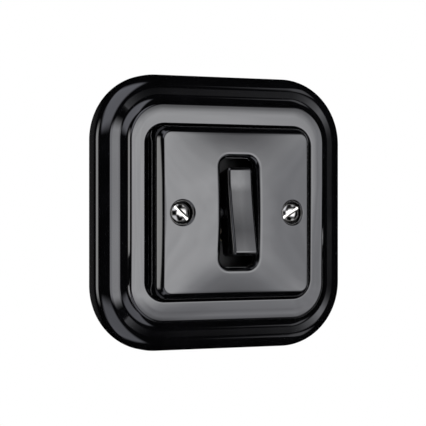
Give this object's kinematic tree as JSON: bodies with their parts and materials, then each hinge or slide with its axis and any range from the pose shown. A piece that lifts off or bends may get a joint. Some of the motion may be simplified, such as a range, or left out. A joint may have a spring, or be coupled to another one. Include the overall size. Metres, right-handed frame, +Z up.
{
  "type": "ceramic push button switch",
  "caption": "Square black glazed wall switch: rounded frame, crowned screwed-on cover plate and a narrow sprung rocker in a slot, with a contact base behind for a wall box.",
  "frame": {"origin": "middle of the plate on the wall plane, at the centre of the wall box screws", "axes": "+Z up the wall, +X to the right seen from the front, -Y out of the wall to the front"},
  "size_m": [0.1, 0.0498, 0.1],
  "materials": {
    "frame_glaze": "gloss black glaze",
    "cover_glaze": "gloss black glaze",
    "rocker_black": "polished black moulding",
    "plated_screw": "polished nickel plate",
    "zinc_steel": "zinc plated sheet and fasteners",
    "base_black": "moulded phenolic black",
    "slider_ivory": "moulded ivory",
    "contact_brass": "plain rolled brass",
    "contact_silver": "silver alloy contact face",
    "spring_steel": "drawn spring wire"
  },
  "bodies": {
    "switch_body": {"wall_frame": "frame_glaze", "cover_plate": "cover_glaze", "cover_screws": "plated_screw", "screw_washers": "base_black", "pivot_pin": "zinc_steel", "mounting_yoke": "zinc_steel", "base_housing": "base_black", "base_rivets": "zinc_steel", "return_spring": "spring_steel", "terminal_strip_left": "contact_brass", "terminal_strip_right": "contact_brass", "fixed_contact_tips": "contact_silver", "clamp_saddles": "zinc_steel", "terminal_screws": "zinc_steel", "rear_cover": "base_black", "rear_cover_screws": "zinc_steel"},
    "rocker": {"rocker_button": "rocker_black", "rocker_cradle": "base_black"},
    "slider": {"contact_slider": "slider_ivory", "contact_bridge": "contact_brass", "bridge_contact_tips": "contact_silver"}
  },
  "joints": [
    {"name": "rocker_press", "type": "hinge", "parent": "switch_body", "child": "rocker", "pos_m": [0, -0.0165, 0], "axis": [1, 0, 0], "range_deg": [0, 17], "stiffness_Nm_per_rad": 0.03, "springref_deg": -11.46},
    {"name": "slider_travel", "type": "slide", "parent": "switch_body", "child": "slider", "axis": [0, 1, 0], "range_m": [0, 0.00237], "deforming": ["return_spring"]}
  ],
  "couplings": [
    {"joint": "rocker_press", "follows": "slider_travel", "rad_per_m": 125}
  ]
}
